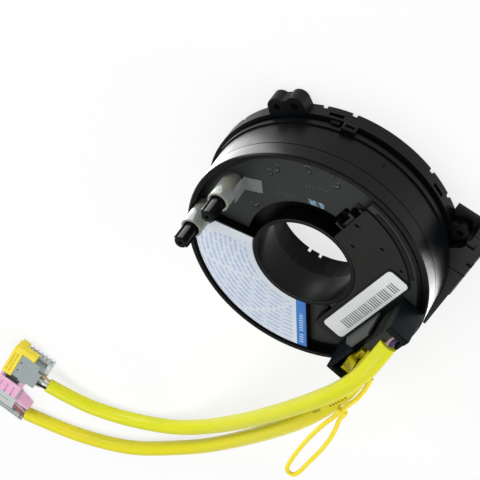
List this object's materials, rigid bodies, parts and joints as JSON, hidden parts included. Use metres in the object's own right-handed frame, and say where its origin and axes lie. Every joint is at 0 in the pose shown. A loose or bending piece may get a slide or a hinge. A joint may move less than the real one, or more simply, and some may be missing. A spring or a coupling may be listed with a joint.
{
  "type": "steering clock spring",
  "caption": "Round rotary connector for a steering column: a turning face with drive posts and a lead tower on a drum housing, with sleeved leads that end in plugs.",
  "frame": {"origin": "on the turning axis, in the plane of the stator's back face", "axes": "+Z along the turning axis towards the steering wheel, +X to the side with the drive posts, -X to the harness block"},
  "size_m": [0.1716, 0.3354, 0.0597],
  "materials": {
    "dark_plastic": "satin black moulding",
    "base_plastic": "satin black moulding",
    "slate_plastic": "satin dark grey moulding",
    "grey_plastic": "satin grey moulding",
    "milky_plastic": "milky translucent sleeve",
    "clear_film": "clear tape",
    "white_paper": "printed sticker",
    "blue_print": "printed mark",
    "sleeve_yellow": "soft yellow tube",
    "sleeve_gold": "soft golden yellow tube",
    "yellow_plastic": "yellow moulding",
    "plug_grey": "grey moulding",
    "plug_light": "light grey moulding",
    "pink_plastic": "pink moulding",
    "cable_film": "flat cable film",
    "terminal_metal": "tinned terminals",
    "violet_wire": "wire jacket",
    "white_wire": "wire jacket",
    "green_wire": "wire jacket",
    "blue_wire": "wire jacket",
    "black_wire": "wire jacket",
    "light_wire": "wire jacket",
    "tan_wire": "wire jacket",
    "red_wire": "wire jacket",
    "grey_wire": "wire jacket"
  },
  "bodies": {
    "stator": {"stator_base": "base_plastic", "stator_housing": "base_plastic", "harness_block": "dark_plastic", "harness_cover": "dark_plastic", "harness_terminals": "terminal_metal", "outer_end_block": "grey_plastic"},
    "rotor": {"rotor_face": "dark_plastic", "retaining_sleeve": "dark_plastic", "cable_cover": "dark_plastic", "stripe_sticker": "white_paper", "face_sticker": "white_paper", "face_mark": "blue_print", "lock_tab": "grey_plastic", "clear_tape": "clear_film", "lead_tower": "slate_plastic", "tower_comb": "grey_plastic", "tower_insert": "grey_plastic", "yellow_retainer": "yellow_plastic", "post_sleeve_1": "milky_plastic", "post_sleeve_2": "milky_plastic", "inner_end_block": "grey_plastic", "flat_cable": "cable_film", "lead_sleeve_1": "sleeve_yellow", "lead_sleeve_2": "sleeve_gold", "wire_violet": "violet_wire", "wire_white": "white_wire", "wire_green": "green_wire", "wire_blue": "blue_wire", "wire_black": "black_wire", "wire_light": "light_wire", "wire_tan": "tan_wire", "wire_red": "red_wire", "wire_grey": "grey_wire", "plug_a_body": "plug_grey", "plug_a_cover": "plug_light", "plug_b_body": "plug_grey", "plug_b_cover": "plug_light", "plug_b_wing": "pink_plastic", "strap_stem": "sleeve_gold", "strap_loop": "sleeve_gold", "strap_clasp": "sleeve_gold"},
    "plug_a_lock_body": {"plug_a_lock": "yellow_plastic"},
    "plug_b_lock_body": {"plug_b_lock": "pink_plastic"}
  },
  "joints": [
    {"name": "rotor_turn", "type": "hinge", "parent": "stator", "child": "rotor", "pos_m": [0, 0, 0.02], "axis": [0, 0, 1], "range_deg": [-900, 900], "deforming": ["flat_cable"]},
    {"name": "plug_a_lock_slide", "type": "slide", "parent": "rotor", "child": "plug_a_lock_body", "axis": [0.9992, -0.0401, 0], "range_m": [0, 0.002]},
    {"name": "plug_b_lock_slide", "type": "slide", "parent": "rotor", "child": "plug_b_lock_body", "axis": [-0.0698, -0.9976, 0], "range_m": [0, 0.002]}
  ]
}
